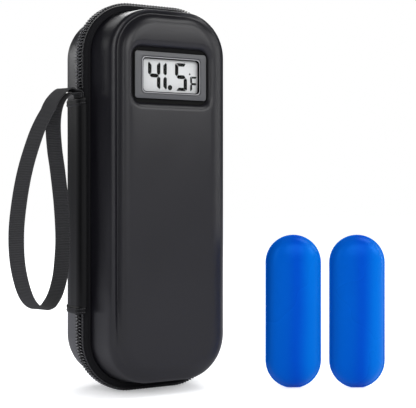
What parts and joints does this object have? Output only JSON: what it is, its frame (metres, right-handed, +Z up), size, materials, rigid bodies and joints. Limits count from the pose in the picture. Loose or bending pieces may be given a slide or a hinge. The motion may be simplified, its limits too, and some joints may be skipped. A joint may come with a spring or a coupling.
{
  "type": "insulin cooling case",
  "caption": "Black clamshell insulin cooling case with a zip, wrist strap, front thermometer display and two blue gel packs.",
  "frame": {"origin": "bottom of the zip ring, on the parting plane between the two shells, midway across the case", "axes": "+Z up along the case's height, -Y towards the display on the front, +X to the right as seen from the front"},
  "size_m": [0.2174, 0.1074, 0.23],
  "materials": {
    "leatherette": "satin",
    "foam": "matte",
    "lining": "satin",
    "tape": "matte",
    "coil": "satin",
    "webbing": "matte",
    "bezel": "satin",
    "clear": "gloss",
    "display": "satin",
    "board": "matte",
    "rubber": "matte",
    "steel": "satin",
    "slider_metal": "satin",
    "gel": "satin"
  },
  "bodies": {
    "base": {"rear_shell": "leatherette", "rear_insulation": "foam", "rear_lining": "lining", "rear_zip_tape": "tape", "rear_zip_coil": "coil", "spine_cover_rear": "leatherette", "pen_band": "webbing"},
    "lid": {"front_shell": "leatherette", "front_insulation": "foam", "front_lining": "lining", "front_zip_tape": "tape", "front_zip_coil": "coil", "spine_cover_front": "leatherette", "pack_pocket": "webbing", "display_bezel": "bezel", "display_window": "clear", "lcd_glass": "display", "contact_strip": "rubber", "circuit_board": "board", "module_housing": "bezel", "button_cell_left": "steel", "button_cell_right": "steel", "temperature_sensor": "steel"},
    "battery_door": {"battery_door": "bezel"},
    "unit_button": {"unit_button": "rubber"},
    "upper_slider": {"upper_slider": "slider_metal"},
    "lower_slider": {"lower_slider": "slider_metal"},
    "upper_pull": {"upper_pull": "slider_metal"},
    "lower_pull": {"lower_pull": "slider_metal"},
    "strap": {"wrist_strap": "webbing"},
    "left_pack": {"gel_pack_left": "gel"},
    "right_pack": {"gel_pack_right": "gel"}
  },
  "joints": [
    {"name": "lid_hinge", "type": "hinge", "parent": "base", "child": "lid", "pos_m": [-0.0493, 0, 0.11], "axis": [0, 0, -1], "range_deg": [0, 180]},
    {"name": "upper_slider_travel", "type": "slide", "parent": "base", "child": "upper_slider", "axis": [0, 0, 1], "range_m": [0, 0.058]},
    {"name": "lower_slider_travel", "type": "slide", "parent": "base", "child": "lower_slider", "axis": [0, 0, -1], "range_m": [0, 0.06]},
    {"name": "upper_pull_swing", "type": "hinge", "parent": "upper_slider", "child": "upper_pull", "pos_m": [0.04905, 0, 0.132], "axis": [0, -1, 0], "range_deg": [0, 165]},
    {"name": "lower_pull_swing", "type": "hinge", "parent": "lower_slider", "child": "lower_pull", "pos_m": [0.04905, 0, 0.108], "axis": [0, -1, 0], "range_deg": [0, 165]},
    {"name": "strap_swing", "type": "hinge", "parent": "base", "child": "strap", "pos_m": [-0.0465, 0, 0.172], "axis": [0, 0, 1], "range_deg": [-25, 25], "deforming": ["wrist_strap"]},
    {"name": "unit_button_press", "type": "slide", "parent": "lid", "child": "unit_button", "axis": [0, -1, 0], "range_m": [0, 0.0005], "stiffness_N_per_m": 400},
    {"name": "battery_door_slide", "type": "slide", "parent": "lid", "child": "battery_door", "axis": [-1, 0, 0], "range_m": [0, 0.01]},
    {"name": "left_pack_lift", "type": "slide", "parent": "base", "child": "left_pack", "axis": [0, 0, 1], "range_m": [0, 0.12]},
    {"name": "right_pack_lift", "type": "slide", "parent": "base", "child": "right_pack", "axis": [0, 0, 1], "range_m": [0, 0.12]}
  ]
}
